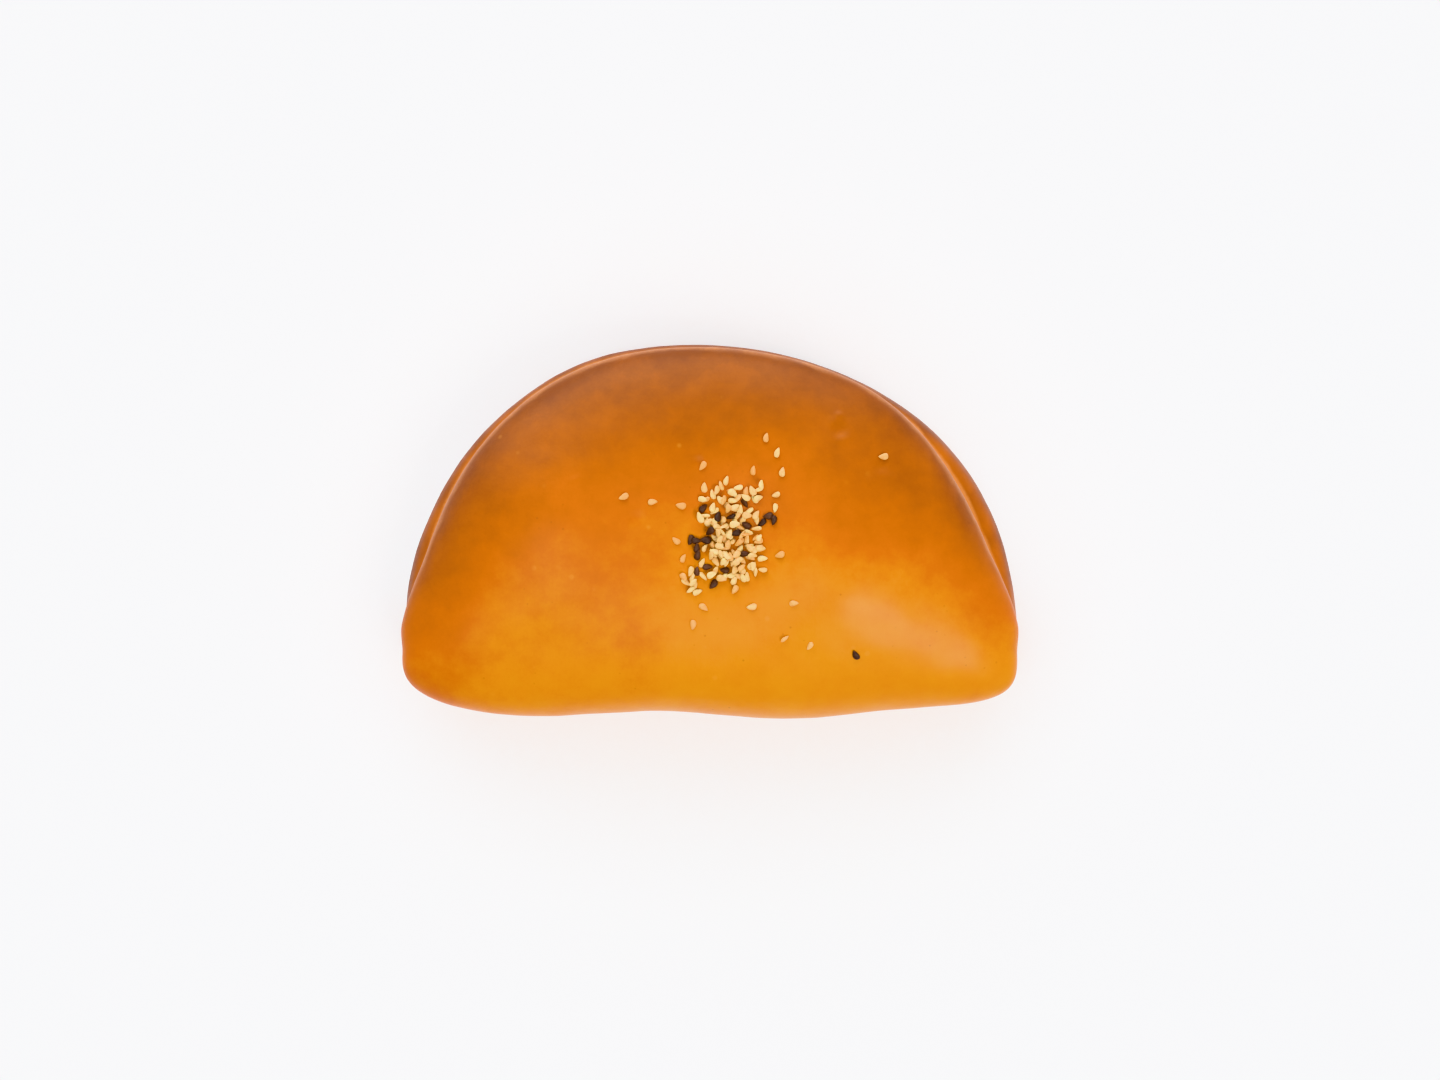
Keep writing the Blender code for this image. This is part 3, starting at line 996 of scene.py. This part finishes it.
@dataclass
class Crust:
    """The bun's skin: one closed mesh with its relief, coloured by the oven and by painted shade and light.
    """

    dough: Dough = field(default_factory=Dough)
    relief: CrustRelief = field(default_factory=CrustRelief)
    baking: Baking = field(default_factory=Baking)
    finish: CrustFinish = field(default_factory=CrustFinish)

    def build(self) -> bpy.types.Object:
        """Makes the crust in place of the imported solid."""
        block = self.dough.block()
        mesh = bpy.data.meshes.new("crust")
        block.to_mesh(mesh)
        block.free()
        skin = self.dough.points(self.points_of(mesh))
        self.move_points(mesh, skin.places)
        lift = self.relief.heights(skin) * ~skin.under
        places = skin.places + self.normals_of(mesh) * lift[:, None]
        places[:, 2] = np.clip(places[:, 2] + self.relief.underside(skin), 0.0, None)
        self.move_points(mesh, places)
        rows = self.dough.rows
        self.store(mesh, "browning_and_shade", self.baking.browning_and_shade(skin, rows))
        self.store(mesh, "paleness", self.baking.paleness(skin, rows))
        self.store(mesh, "egg_wash", self.baking.egg_wash(skin, rows))
        self.store(mesh, "underside", skin.under)
        crust = new_piece("crust", mesh, self.finish.material())
        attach(crust, "root")
        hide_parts("folded_bun")
        return crust

    @staticmethod
    def points_of(mesh: bpy.types.Mesh) -> Array:
        """The mesh's points, one row each."""
        flat = np.empty(3 * len(mesh.vertices))
        mesh.vertices.foreach_get("co", flat)
        return flat.reshape(-1, 3)

    @staticmethod
    def normals_of(mesh: bpy.types.Mesh) -> Array:
        """The mesh's normals at its points, one row each."""
        flat = np.empty(3 * len(mesh.vertices), dtype=np.float32)
        mesh.vertex_normals.foreach_get("vector", flat)
        return flat.reshape(-1, 3).astype(float)

    @staticmethod
    def move_points(mesh: bpy.types.Mesh, places: Array) -> None:
        """Moves the mesh's points to places given in millimetres."""
        mesh.vertices.foreach_set("co", (places * MM).astype(np.float32).ravel())
        mesh.update()

    @staticmethod
    def store(mesh: bpy.types.Mesh, name: str, values: Array) -> None:
        """Stores a number at each of the mesh's points, for the material to read."""
        layer = mesh.attributes.new(name, "FLOAT", "POINT")
        layer.data.foreach_set("value", values.astype(np.float32))


# ---- Sesame ----


class SeedKind(Enum):
    """The two kinds of sesame."""

    WHITE = "white"
    BLACK = "black"


def add_ball(mesh: bmesh.types.BMesh, around: int, rings: int) -> list[bmesh.types.BMVert]:
    """Adds a ball of radius 1 with its poles on Z, its points and faces always in the same order.

    Args:
        mesh: the mesh that it is added to.
        around: its faces in a full turn.
        rings: its rings of faces from pole to pole.

    Returns:
        The ball's points.
    """
    turns = [math.tau * step / around for step in range(around)]
    top = mesh.verts.new((0.0, 0.0, 1.0))
    rows: list[list[bmesh.types.BMVert]] = []
    for ring in range(1, rings):
        radius, height = math.sin(math.pi * ring / rings), math.cos(math.pi * ring / rings)
        places = [(radius * math.sin(turn), radius * math.cos(turn), height) for turn in turns]
        rows.append([mesh.verts.new(place) for place in places])
    foot = mesh.verts.new((0.0, 0.0, -1.0))
    for step in range(around):
        after = (step + 1) % around
        mesh.faces.new((top, rows[0][after], rows[0][step]))
        for row, below in zip(rows, rows[1:]):
            mesh.faces.new((row[after], below[after], below[step], row[step]))
        mesh.faces.new((foot, rows[-1][step], rows[-1][after]))
    return [top, *(point for row in rows for point in row), foot]


@dataclass(frozen=True)
class SeedForm:
    """A sesame seed: a flat drop with one blunt end and one pointed."""

    length: float
    width: float
    thickness: float
    point: float = 0.46
    thinning: float = 0.25
    bend: float = 0.08
    squareness: float = 0.8
    around: int = 10
    rings: int = 8

    def half_width(self, along: Array) -> Array:
        """Half the width where along runs from -1 at the blunt end to 1 at the point."""
        swell = np.sqrt(np.clip(1.0 - along**2, 0.0, None)) * (1.0 - self.point * along)
        return 0.5 * self.width * swell / (1.0 + 0.25 * self.point)

    def half_thickness(self, along: Array) -> Array:
        """Half the thickness along the seed's middle line."""
        round_end = np.sqrt(np.clip(1.0 - along**2, 0.0, None))
        return 0.5 * self.thickness * round_end * (1.0 - self.thinning * along)

    def scaled(self, size: float, plump: float) -> "SeedForm":
        """A seed of the same kind, larger or smaller, and fuller or flatter."""
        width, thickness = self.width * size * plump, self.thickness * plump
        return replace(self, length=self.length * size, width=width, thickness=thickness)

    def add_to(self, mesh: bmesh.types.BMesh, place: Matrix, tone: float) -> None:
        """Adds one seed to a mesh.

        Args:
            mesh: the mesh of all the seeds of a kind.
            place: turns and moves the seed from lying flat at the origin, its point along X, in millimetres.
            tone: how bright this seed is, from 0 to 1.
        """
        tones, tips = mesh.verts.layers.float["tone"], mesh.verts.layers.float["tip"]
        ball = add_ball(mesh, self.around, self.rings)
        for vertex in ball:
            across, up, along = vertex.co
            ring = max(math.hypot(across, up), 1e-6)
            side, rise = across / ring, up / ring
            vertex[tones], vertex[tips] = tone, along
            vertex.co = (
                along * self.length / 2.0,
                side * float(self.half_width(along)) + self.bend * self.width * (1.0 - along**2),
                math.copysign(abs(rise) ** self.squareness, rise) * float(self.half_thickness(along)),
            )
        bmesh.ops.transform(mesh, matrix=Matrix.Scale(MM, 4) @ place, verts=ball)


@dataclass(frozen=True)
class SeedSort:
    """How the seeds of one sort lie.

    Attributes:
        kind: white or black.
        sink: how far they sink into what they lie on.
        tone: how bright they are as a rule, from 0 to 1.
        unevenness: how much they differ in roll, in degrees.
        lean: how far they are rolled as a rule, in degrees.
    """

    kind: SeedKind
    sink: float
    tone: float
    unevenness: float
    lean: float = 0.0


@dataclass(frozen=True)
class Seed:
    """One seed that is to be laid.

    Attributes:
        sort: its kind and how seeds of its sort lie.
        x: its middle in the plan, along the fold.
        y: its middle in the plan, from front to back.
        turn: the way its point lies, in radians from the X axis.
        roll: how far it is rolled about its length, in radians.
        form: its size and outline.
        tone: how bright it is, from 0 to 1.
    """

    sort: SeedSort
    x: float
    y: float
    turn: float
    roll: float
    form: SeedForm
    tone: float

    def half_across(self, along: Array) -> Array:
        """Half its level width along its length, when it is rolled."""
        level = self.form.half_width(along) * math.cos(self.roll)
        return np.hypot(level, self.form.half_thickness(along) * math.sin(self.roll))

    def half_up(self, along: Array) -> Array:
        """Half its height along its length, when it is rolled."""
        upright = self.form.half_thickness(along) * math.cos(self.roll)
        return np.hypot(upright, self.form.half_width(along) * math.sin(self.roll))


class SeedGround:
    """The ground that seeds are laid on: heights over the crown, which rise under each seed laid.

    Attributes:
        cell: the grid's spacing, in millimetres.
        steepest: the steepest slope that a seed lies at.
        far_above: a height above everything, in metres.
        feelers: how far along and across a seed the ground is felt, as a share of it, and at how many places.
    """

    cell = 0.2
    steepest = math.tan(math.radians(38))
    far_above = 0.1
    feelers = ((0.95, 11), (0.9, 5))

    def __init__(self, crust: bpy.types.Object, low: tuple[float, float], high: tuple[float, float]) -> None:
        """Measures the crust's heights on a grid between two corners of the plan."""
        self.low = np.array(low)
        tree = BVHTree.FromObject(crust, bpy.context.evaluated_depsgraph_get())
        columns, rows = np.ceil((np.array(high) - self.low) / self.cell).astype(int)
        down = Vector((0.0, 0.0, -1.0))
        self.heights = np.empty((rows, columns))
        for row in range(rows):
            for column in range(columns):
                x, y = (self.low + self.cell * np.array([column, row])) * MM
                hit = tree.ray_cast(Vector((x, y, self.far_above)), down)[0]
                self.heights[row, column] = hit.z / MM if hit else 0.0

    def look_up(self, x: Array, y: Array) -> Array:
        """The ground's height at places of the plan, from the nearest cell."""
        column = np.clip(np.round((x - self.low[0]) / self.cell).astype(int), 0, self.heights.shape[1] - 1)
        row = np.clip(np.round((y - self.low[1]) / self.cell).astype(int), 0, self.heights.shape[0] - 1)
        return self.heights[row, column]

    def lay(self, seed: Seed) -> Matrix:
        """Lets a seed down until it rests, tilted as the ground under it is, and raises the ground.

        Args:
            seed: the seed to lay.

        Returns:
            The matrix that takes the seed from the origin to its place, in millimetres.
        """
        cosine, sine = math.cos(seed.turn), math.sin(seed.turn)
        reaches = (np.linspace(-reach, reach, count) for reach, count in self.feelers)
        share, across_share = (grid.ravel() for grid in np.meshgrid(*reaches))
        along, across = share * seed.form.length / 2.0, across_share * seed.half_across(share)
        x, y = seed.x + along * cosine - across * sine, seed.y + along * sine + across * cosine
        under = self.look_up(x, y)
        planes = np.column_stack([np.ones_like(along), along, across])
        slopes = np.linalg.lstsq(planes, under, rcond=None)[0][1:]
        rise, tilt = np.clip(slopes, -self.steepest, self.steepest)
        half = seed.half_up(share) * np.sqrt(1.0 - across_share**2)
        level = np.max(under - rise * along - tilt * across + half) - seed.sort.sink
        self.raise_under(seed, level, rise, tilt)

        forward = Vector((cosine, sine, rise)).normalized()
        upward = forward.cross(Vector((-sine, cosine, tilt))).normalized()
        turned = Matrix((forward, upward.cross(forward), upward)).transposed().to_4x4()
        return Matrix.Translation((seed.x, seed.y, level)) @ turned @ Matrix.Rotation(seed.roll, 4, "X")

    def raise_under(self, seed: Seed, level: float, rise: float, tilt: float) -> None:
        """Raises the ground to the top of a seed that lies at this level and with these slopes."""
        middle, reach = np.array([seed.x, seed.y]), seed.form.length / 2.0 + self.cell
        first = np.floor((middle - reach - self.low) / self.cell).astype(int)
        last = np.ceil((middle + reach - self.low) / self.cell).astype(int) + 1
        columns, rows = np.meshgrid(np.arange(first[0], last[0]), np.arange(first[1], last[1]))
        x, y = self.low[0] + columns * self.cell - seed.x, self.low[1] + rows * self.cell - seed.y
        along = x * math.cos(seed.turn) + y * math.sin(seed.turn)
        across = y * math.cos(seed.turn) - x * math.sin(seed.turn)
        share = np.clip(along / (seed.form.length / 2.0), -1.0, 1.0)
        width = np.maximum(seed.half_across(share), 1e-3)
        half = seed.half_up(share) * np.sqrt(np.clip(1.0 - (across / width) ** 2, 0.0, 1.0))
        inside = (np.abs(share) < 1.0) & (np.abs(across) < width)
        top = np.where(inside, level + rise * along + tilt * across + half, -np.inf)
        patch = np.s_[first[1]:last[1], first[0]:last[0]]
        self.heights[patch] = np.maximum(self.heights[patch], top)


@dataclass(frozen=True)
class HeapPatch:
    """An oval part of the heap, and how many loose white seeds each of its layers gets."""

    x: float
    y: float
    half_length: float
    half_depth: float
    layers: tuple[int, ...]

    def random_place(self, rng: np.random.Generator) -> tuple[float, float]:
        """A place anywhere in the patch."""
        spread, angle = math.sqrt(rng.random()), rng.uniform(0.0, FULL_TURN)
        x = self.x + spread * self.half_length * math.cos(angle)
        return x, self.y + spread * self.half_depth * math.sin(angle)


Spot = tuple[float, float, float]
Spots = tuple[Spot, ...]


@dataclass
class Sesame:
    """The sesame on the crown: a heap near the middle with strays round it, white and black.

    A spot is a place in the plan, with the way the seed points in degrees.
    """

    white: SeedForm = SeedForm(2.70, 1.72, 0.90)
    black: SeedForm = SeedForm(2.80, 1.85, 0.95, point=0.40)
    white_finish: SeedFinish = SeedFinish(
        "white_sesame", (0.68, 0.33, 0.090, 1.0), (0.80, 0.60, 0.26, 1.0), (0.46, 0.21, 0.06, 1.0),
        roughness=0.50, streak=0.6, wrinkle=0.03, subsurface=0.2,
    )
    black_finish: SeedFinish = SeedFinish(
        "black_sesame", (0.030, 0.010, 0.004, 1.0), (0.085, 0.029, 0.010, 1.0), (0.14, 0.048, 0.012, 1.0),
        roughness=0.60, streak=0.8, wrinkle=0.07,
    )
    patches: tuple[HeapPatch, ...] = (
        HeapPatch(6.2, 8.8, 7.8, 3.2, (12,)),
        HeapPatch(5.0, 3.0, 7.2, 3.0, (14,)),
        HeapPatch(6.6, -4.2, 6.4, 5.4, (26, 9)),
        HeapPatch(4.2, -10.6, 8.6, 3.0, (15,)),
        HeapPatch(-4.4, -12.8, 2.0, 3.0, (4,)),
    )
    black_spots: Spots = (
        (-1.6, 5.5, 50), (2.3, 3.4, 82), (5.5, 3.4, 18), (9.1, 6.8, -60), (9.6, 1.2, -30),
        (13.6, 1.8, 42), (15.2, 3.6, 15), (16.6, 2.4, 74), (6.8, -0.8, 22), (0.0, -0.4, 48),
        (-1.0, -2.6, -5), (-5.0, -2.7, 68), (-3.4, -3.0, 10), (-3.2, -4.8, 84), (-3.0, -6.7, 75),
        (9.2, -6.4, 12), (-3.2, -10.8, 86), (-0.5, -9.8, 5), (3.9, -10.5, -4), (0.9, -14.2, 50),
        (38.2, -32.7, -62),
    )
    top_spots: Spots = (
        (13.5, 11.7, 84), (17.2, 9.1, 20), (17.0, 5.6, 86), (4.4, 12.8, 74), (-1.3, 11.0, 90),
        (1.8, 10.2, 66), (7.4, 11.0, 10), (6.0, 9.4, -36), (11.2, 10.2, -60), (-1.8, 7.8, -4),
        (3.6, 7.6, 70), (9.4, 8.5, -30), (12.7, 8.1, 22), (0.9, 5.8, 80), (4.7, 5.4, 75),
        (6.6, 5.8, 30), (-2.4, 3.2, -60), (-0.3, 2.1, 32), (9.8, 3.6, -10), (12.2, 3.8, 62),
        (3.6, 0.8, 22), (6.6, 1.3, 8), (5.2, -1.0, 66), (2.1, -1.0, 84), (12.2, 0.3, 8),
        (13.0, -2.1, 58), (7.4, -3.4, 36), (4.9, -3.7, 80), (2.6, -4.5, -28), (10.4, -4.6, -46),
        (13.3, -5.0, -6), (0.3, -6.8, 72), (-1.2, -4.8, 60), (4.4, -6.6, -50), (6.9, -6.4, 46),
        (3.4, -8.4, 52), (6.6, -8.5, 14), (8.4, -9.9, 40), (11.2, -9.6, 84), (13.8, -10.4, -8),
        (8.8, -12.5, -62), (6.5, -15.6, 58), (3.1, -12.8, -10), (0.6, -11.8, 20), (-5.0, -10.9, 72),
        (-6.8, -12.4, -60), (-4.2, -13.7, 44), (-3.1, -16.3, 18), (13.8, -7.6, 10),
    )
    stray_spots: Spots = (
        (14.8, 24.0, 76), (17.7, 20.1, 72), (19.0, 15.0, 80), (-1.9, 16.6, 56), (11.4, 15.4, 86),
        (-22.4, 8.6, 32), (45.4, 19.2, 4), (18.2, -6.5, 26), (-1.6, -20.3, -30), (10.9, -20.0, 5),
        (21.9, -19.2, 4), (-4.4, -24.8, 80),
    )
    stuck_spots: Spots = (
        (-14.8, 7.1, 8), (-7.5, 6.3, -5), (-8.7, -2.8, -40), (-6.8, -7.5, 62), (26.0, -30.3, 50),
    )
    leaning_spots: Spots = ((19.6, -28.4, 32),)
    stray: SeedSort = SeedSort(SeedKind.WHITE, 0.08, 0.30, 8.0)
    stuck: SeedSort = SeedSort(SeedKind.WHITE, 0.30, 0.15, 8.0)
    leaning: SeedSort = SeedSort(SeedKind.WHITE, 0.30, 0.30, 3.0, 62.0)
    dark: SeedSort = SeedSort(SeedKind.BLACK, 0.10, 0.50, 14.0)
    # The heap's loose, lower seeds are a touch duller than those on top: painted shade.
    loose: SeedSort = SeedSort(SeedKind.WHITE, 0.10, 0.55, 30.0)
    top: SeedSort = SeedSort(SeedKind.WHITE, 0.10, 0.62, 24.0)
    spacing: float = 1.7
    black_clearance: float = 1.5
    tries: int = 2000
    turn_wander: float = 4.0
    most_roll: float = 65.0
    size_wander: float = 0.05
    plump_wander: float = 0.06
    tone_wander: float = 0.2
    random_seed: int = 11

    def build(self, crust: bpy.types.Object) -> list[bpy.types.Object]:
        """Lays all the seeds and makes one piece of each kind."""
        ground = SeedGround(crust, (-28.0, -38.0), (52.0, 30.0))
        laid = [(seed, ground.lay(seed)) for seed in self.seeds(np.random.default_rng(self.random_seed))]
        finishes = {SeedKind.WHITE: self.white_finish, SeedKind.BLACK: self.black_finish}
        return [self.piece(kind, finish, laid) for kind, finish in finishes.items()]

    def seeds(self, rng: np.random.Generator) -> list[Seed]:
        """All the seeds in the order in which they fall."""
        strays = self.seeds_at(self.stray_spots, self.stray, rng)
        stuck = self.seeds_at(self.stuck_spots, self.stuck, rng)
        leaning = self.seeds_at(self.leaning_spots, self.leaning, rng)
        blacks = self.seeds_at(self.black_spots, self.dark, rng)
        top = self.seeds_at(self.top_spots, self.top, rng)
        rng.shuffle(top)
        return [*strays, *stuck, *leaning, *self.layer(rng, 0), *blacks, *self.layer(rng, 1), *top]

    def seeds_at(self, spots: Sequence[Spot], sort: SeedSort, rng: np.random.Generator) -> list[Seed]:
        """Seeds of one sort at these spots, each with a size and tone of its own."""
        form = self.white if sort.kind is SeedKind.WHITE else self.black
        seeds = []
        for x, y, degrees in spots:
            turn = math.radians(degrees + 180 * int(rng.integers(0, 2)) + rng.normal(0.0, self.turn_wander))
            roll = float(np.clip(rng.normal(sort.lean, sort.unevenness), -self.most_roll, self.most_roll))
            own_form = form.scaled(rng.normal(1.0, self.size_wander), rng.normal(1.0, self.plump_wander))
            tone = float(np.clip(rng.normal(sort.tone, self.tone_wander), 0.0, 1.0))
            seeds.append(Seed(sort, x, y, turn, math.radians(roll), own_form, tone))
        return seeds

    def layer(self, rng: np.random.Generator, depth: int) -> list[Seed]:
        """One layer of the heap's loose white seeds, kept off each other and off the black ones.

        Args:
            rng: gives the chances.
            depth: 0 for the layer on the crust, 1 for the one above it.

        Returns:
            The layer's seeds.
        """
        spots: list[Spot] = []
        for patch in self.patches:
            wanted = len(spots) + (patch.layers[depth] if depth < len(patch.layers) else 0)
            for _ in range(self.tries):
                if len(spots) == wanted:
                    break
                x, y = patch.random_place(rng)
                if self.is_clear(x, y, spots):
                    spots.append((x, y, rng.uniform(0.0, 180.0)))
        return self.seeds_at(spots, self.loose, rng)

    def is_clear(self, x: float, y: float, spots: Sequence[Spot]) -> bool:
        """Whether a place is far enough from these spots and from the black seeds."""
        gaps = ((spots, self.spacing), (self.black_spots, self.black_clearance))
        return all(math.hypot(x - spot[0], y - spot[1]) > gap for others, gap in gaps for spot in others)

    @staticmethod
    def piece(kind: SeedKind, finish: SeedFinish, laid: Sequence[tuple[Seed, Matrix]]) -> bpy.types.Object:
        """Joins all the laid seeds of one kind into one piece."""
        mesh = bmesh.new()
        mesh.verts.layers.float.new("tone")
        mesh.verts.layers.float.new("tip")
        for seed, place in laid:
            if seed.sort.kind is kind:
                seed.form.add_to(mesh, place, seed.tone)
        bmesh.ops.recalc_face_normals(mesh, faces=mesh.faces)
        shape = bpy.data.meshes.new(f"{kind.value}_sesame")
        mesh.to_mesh(shape)
        mesh.free()
        piece = new_piece(f"{kind.value}_sesame", shape, finish.material())
        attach(piece, "root")
        return piece


# ---- The studio ----


def way_to(azimuth: float, elevation: float) -> Vector:
    """The direction with this azimuth, counted anticlockwise from +X, and this elevation."""
    level = math.cos(elevation)
    return Vector((math.cos(azimuth) * level, math.sin(azimuth) * level, math.sin(elevation)))


@dataclass(frozen=True)
class SoftBox:
    """A wide light far off: its direction, its strength, and the angles from its middle where it fades."""

    azimuth: float
    elevation: float
    strength: float
    full_within: float
    gone_beyond: float

    def light(self, graph: Graph, direction: Value) -> Value:
        """The light that comes from each direction."""
        sockets = {0: direction, 1: way_to(self.azimuth, self.elevation)}
        facing = graph.node("ShaderNodeVectorMath", {"operation": "DOT_PRODUCT"}, sockets, output="Value")
        return facing.eased(math.cos(self.gone_beyond), math.cos(self.full_within)) * self.strength


@dataclass(frozen=True)
class Studio:
    """A pale floor under soft light from all round, with one lamp at the front right and two soft boxes."""

    floor_size: float = 40000.0
    floor_drop: float = 0.2
    lamp_azimuth: float = math.radians(-47)
    lamp_elevation: float = math.radians(53)
    lamp_strength: float = 2.55
    lamp_colour: tuple[float, float, float] = (1.0, 0.985, 0.96)
    lamp_angle: float = math.radians(27)
    horizon_light: float = 0.45
    zenith_light: float = 0.10
    sky_colour: Colour = (0.96, 0.98, 1.0, 1.0)
    haze_light: float = 0.90
    haze_gone_at: float = 0.05
    soft_boxes: tuple[SoftBox, ...] = (
        SoftBox(math.radians(-137), math.radians(71), 5.4, math.radians(8), math.radians(22)),
        SoftBox(math.radians(100), math.radians(15), 4.5, math.radians(20), math.radians(52)),
    )
    paper: PaperFinish = PaperFinish()

    def build(self) -> bpy.types.Object:
        """Makes the floor, the lamp and the light all round."""
        mesh = bmesh.new()
        drop = Matrix.Translation((0.0, 0.0, -self.floor_drop * MM))
        bmesh.ops.create_grid(mesh, x_segments=8, y_segments=8, size=self.floor_size * MM / 2.0, matrix=drop)
        shape = bpy.data.meshes.new("studio_floor")
        mesh.to_mesh(shape)
        mesh.free()
        floor = new_piece("studio_floor", shape, self.paper.material())
        self.hang_lamp()
        self.light_all_round()
        return floor

    def hang_lamp(self) -> None:
        """Adds the lamp, far off, so that its light falls evenly."""
        light = bpy.data.lights.new("key_lamp", "SUN")
        light.energy = self.lamp_strength
        light.color = self.lamp_colour
        light.angle = self.lamp_angle
        lamp = bpy.data.objects.new("key_lamp", light)
        lamp.location = way_to(self.lamp_azimuth, self.lamp_elevation)
        lamp.rotation_euler = lamp.location.to_track_quat("Z", "Y").to_euler()
        bpy.context.scene.collection.objects.link(lamp)

    def light_all_round(self) -> None:
        """Lights the scene from the whole sky, more from its hazy edge, and from the soft boxes."""
        world = bpy.data.worlds.new("studio")
        world.use_nodes = True
        bpy.context.scene.world = world
        graph = Graph(world.node_tree)
        direction = graph.node("ShaderNodeTexCoord", output="Generated")
        up = graph.node("ShaderNodeSeparateXYZ", None, {"Vector": direction}, output="Z").at_least(0.0)
        strength = self.horizon_light + up * (self.zenith_light - self.horizon_light)
        strength += up.eased(self.haze_gone_at, 0.0) * self.haze_light
        for box in self.soft_boxes:
            strength += box.light(graph, direction)
        sockets = {"Color": self.sky_colour, "Strength": strength}
        graph.node_without_output("ShaderNodeOutputWorld", graph.node("ShaderNodeBackground", None, sockets))


@dataclass(frozen=True)
class OverheadCamera:
    """A camera that looks straight down on the bun."""

    x: float = 2.7
    y: float = -2.7
    height: float = 770.0
    lens: float = 70.0
    sensor: float = 36.0
    nearest: float = 10.0

    def build(self) -> bpy.types.Object:
        """Makes the camera the scene's own, and sets how its picture is developed."""
        data = bpy.data.cameras.new("camera")
        data.lens = self.lens
        data.sensor_width = self.sensor
        data.clip_start = self.nearest * MM
        camera = bpy.data.objects.new("camera", data)
        camera.location = Vector((self.x, self.y, self.height)) * MM
        scene = bpy.context.scene
        scene.collection.objects.link(camera)
        scene.camera = camera
        scene.view_settings.view_transform = "Khronos PBR Neutral"
        return camera


def main() -> None:
    """Builds the bun's looks in order and reports each piece."""
    logging.basicConfig(level=logging.INFO, format="%(name)s: %(message)s")
    OverheadCamera().build()
    Studio().build()
    crust = Crust().build()
    log.info("%s: %d triangles", crust.name, count_triangles(crust))
    for piece in Sesame().build(crust):
        log.info("%s: %d triangles", piece.name, count_triangles(piece))


if __name__ == "__main__":
    main()
